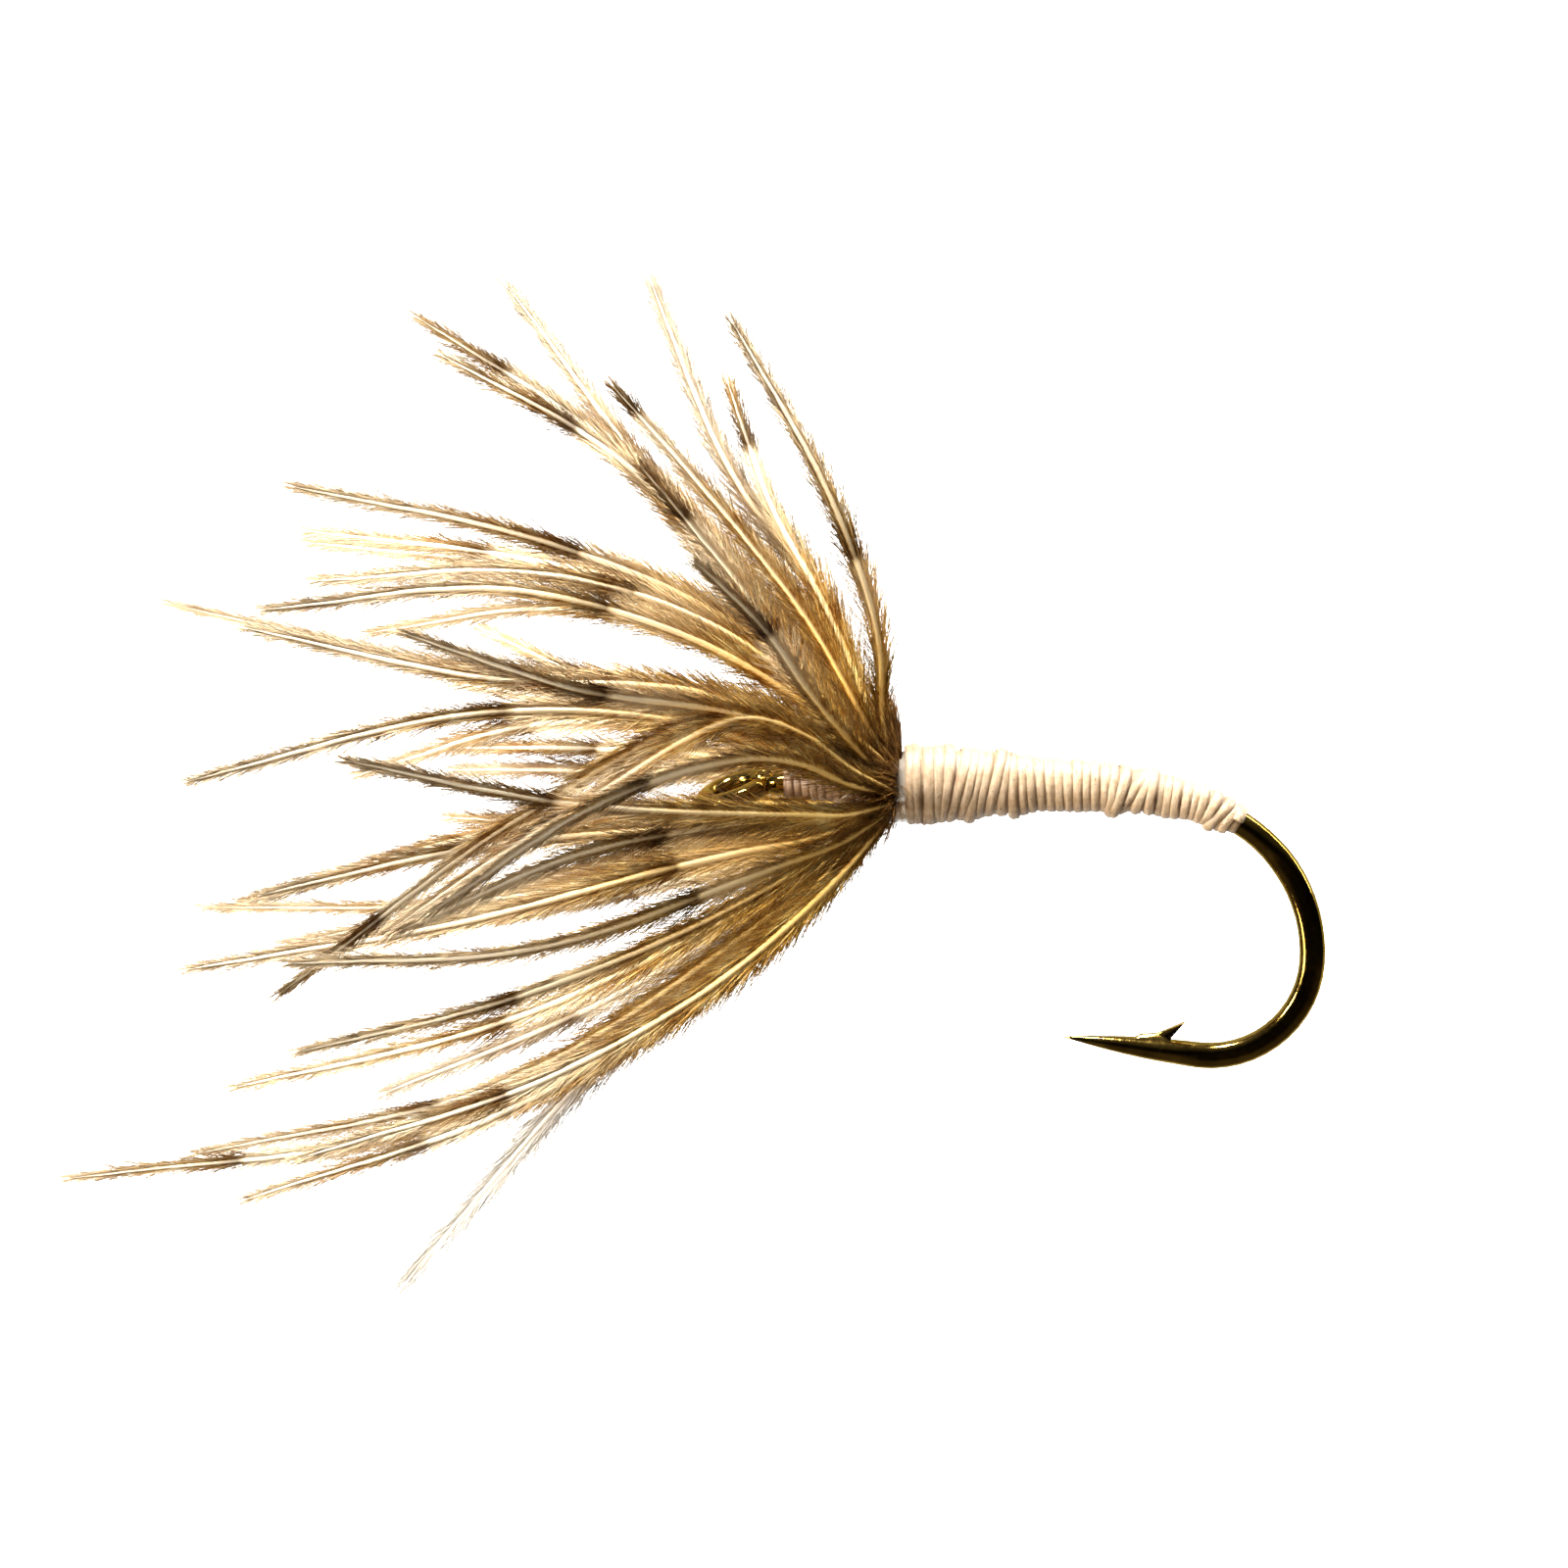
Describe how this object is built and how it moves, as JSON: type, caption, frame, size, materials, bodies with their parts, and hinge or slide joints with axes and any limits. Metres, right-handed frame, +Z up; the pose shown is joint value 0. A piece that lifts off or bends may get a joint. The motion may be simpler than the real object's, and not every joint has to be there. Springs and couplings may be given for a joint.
{
  "type": "fishing fly",
  "caption": "Soft-hackle fishing fly: curved barbed hook, tapered wound silk body and a forward-swept collar of banded feather hackle.",
  "frame": {"origin": "centre of the hook's eye", "axes": "+X along the shank from the eye towards the bend, +Y across the hook, +Z up, away from the hook's point; the hook lies in the XZ plane"},
  "size_m": [0.0258, 0.017, 0.0211],
  "materials": {
    "hook_bronze": "bronzed wire, dark olive-brown with gold reflections, polished",
    "silk": "cream tying silk wound edge to edge, fine twisted strands, soft sheen",
    "cement": "clear head cement, cured and glossy",
    "hackle_stem": "dark brown feather stem, satin horn",
    "hackle": "game-bird barbs banded cream, tan and dark brown with grey barbules, satin"
  },
  "bodies": {
    "root": {"hook": "hook_bronze", "thread_underbody": "silk", "thread_neck_wraps": "silk", "thread_shoulder": "silk", "thread_body": "silk", "whip_finish": "silk", "head_cement": "cement", "thread_end": "silk", "hackle_stem": "hackle_stem", "stem_butt_tag": "hackle_stem", "feather_tip_tag": "hackle_stem", "hackle_barb_01": "hackle", "hackle_barb_02": "hackle", "hackle_barb_03": "hackle", "hackle_barb_04": "hackle", "hackle_barb_05": "hackle", "hackle_barb_06": "hackle", "hackle_barb_07": "hackle", "hackle_barb_08": "hackle", "hackle_barb_09": "hackle", "hackle_barb_10": "hackle", "hackle_barb_11": "hackle", "hackle_barb_12": "hackle", "hackle_barb_13": "hackle", "hackle_barb_14": "hackle", "hackle_barb_15": "hackle", "hackle_barb_16": "hackle", "hackle_barb_17": "hackle", "hackle_barb_18": "hackle", "hackle_barb_19": "hackle", "hackle_barb_20": "hackle", "hackle_barb_21": "hackle", "hackle_barb_22": "hackle", "hackle_barb_23": "hackle", "hackle_barb_24": "hackle", "hackle_barb_25": "hackle", "hackle_barb_26": "hackle", "hackle_barb_27": "hackle", "hackle_barb_28": "hackle", "hackle_barb_29": "hackle", "hackle_barb_30": "hackle", "hackle_barb_31": "hackle", "hackle_barb_32": "hackle", "hackle_barb_33": "hackle", "hackle_barb_34": "hackle", "hackle_barb_35": "hackle", "hackle_barb_36": "hackle", "hackle_barb_37": "hackle", "hackle_barb_38": "hackle", "hackle_barb_39": "hackle", "hackle_barb_40": "hackle", "hackle_barb_41": "hackle", "hackle_barb_42": "hackle", "hackle_barb_43": "hackle", "hackle_barb_44": "hackle", "hackle_barb_45": "hackle", "hackle_barb_46": "hackle", "hackle_barb_47": "hackle", "hackle_barb_48": "hackle"}
  },
  "joints": []
}
